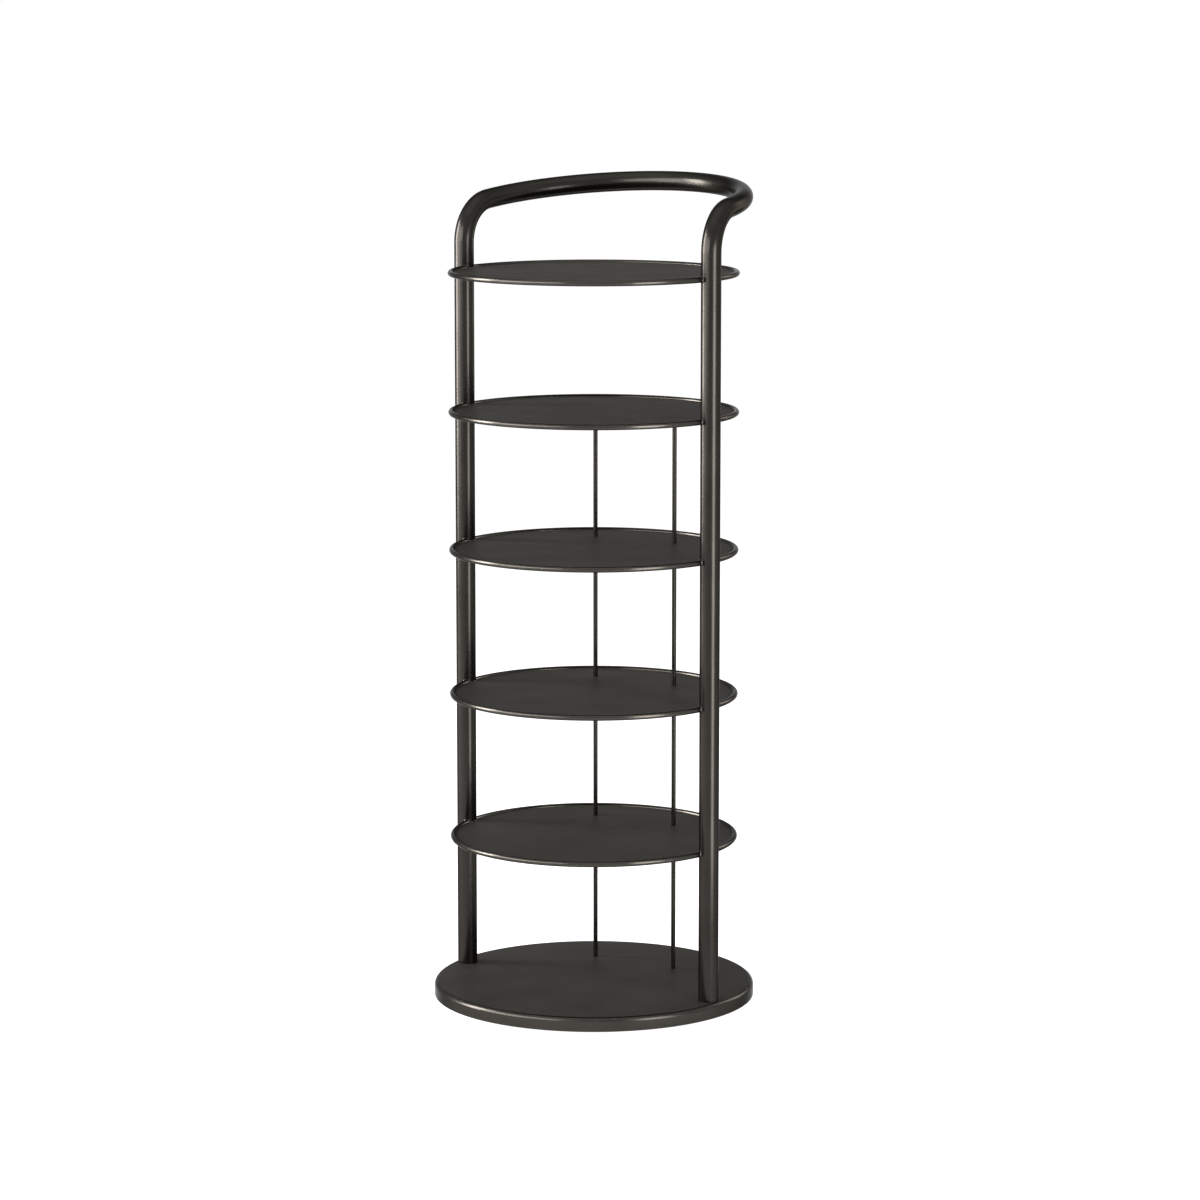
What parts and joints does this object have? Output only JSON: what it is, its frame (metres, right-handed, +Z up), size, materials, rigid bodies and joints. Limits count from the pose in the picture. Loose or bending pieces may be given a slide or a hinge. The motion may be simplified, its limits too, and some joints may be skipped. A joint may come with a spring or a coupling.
{
  "type": "vertical shoe rack",
  "caption": "Free-standing round shoe rack: weighted round base, bent tube hoop with a crown handle, round shelves with beaded rims, and thin rods behind the tiers.",
  "frame": {"origin": "on the floor, on the shelves' common axis, under the middle of the base", "axes": "+Z up, +X to the right of someone facing the open front, +Y to the back, where the crown runs"},
  "size_m": [0.358, 0.358, 0.9135],
  "materials": {
    "tube_coat": "satin dark graphite powder coat",
    "shelf_coat": "satin dark graphite powder coat on flat sheet",
    "rim_coat": "satin dark graphite powder coat on round wire",
    "base_coat": "satin dark graphite powder coat on drawn sheet",
    "bare_steel": "oiled mill steel plate",
    "zinc_steel": "zinc plated fastener steel",
    "foot_rubber": "matt black rubber"
  },
  "bodies": {
    "root": {"base_cover": "base_coat", "base_weight": "bare_steel", "base_feet": "foot_rubber", "foot_screws": "zinc_steel", "frame_hoop": "tube_coat", "post_end_plugs": "zinc_steel", "post_bolts": "zinc_steel", "post_bolt_washers": "zinc_steel", "shelf_lugs_left": "tube_coat", "shelf_lugs_right": "tube_coat", "shelf_studs": "zinc_steel", "shelf_nuts": "zinc_steel", "rod_studs": "rim_coat", "shelf_1_plate": "shelf_coat", "shelf_2_plate": "shelf_coat", "shelf_3_plate": "shelf_coat", "shelf_4_plate": "shelf_coat", "shelf_5_plate": "shelf_coat", "shelf_1_rim_front": "rim_coat", "shelf_1_rim_rear": "rim_coat", "shelf_2_rim_front": "rim_coat", "shelf_2_rim_rear": "rim_coat", "shelf_3_rim_front": "rim_coat", "shelf_3_rim_rear": "rim_coat", "shelf_4_rim_front": "rim_coat", "shelf_4_rim_rear": "rim_coat", "shelf_5_rim_front": "rim_coat", "shelf_5_rim_rear": "rim_coat", "rear_rod_left_2": "rim_coat", "rear_rod_right_2": "rim_coat", "rear_rod_left_3": "rim_coat", "rear_rod_right_3": "rim_coat", "rear_rod_left_4": "rim_coat", "rear_rod_right_4": "rim_coat", "rear_rod_left_5": "rim_coat", "rear_rod_right_5": "rim_coat"}
  },
  "joints": []
}
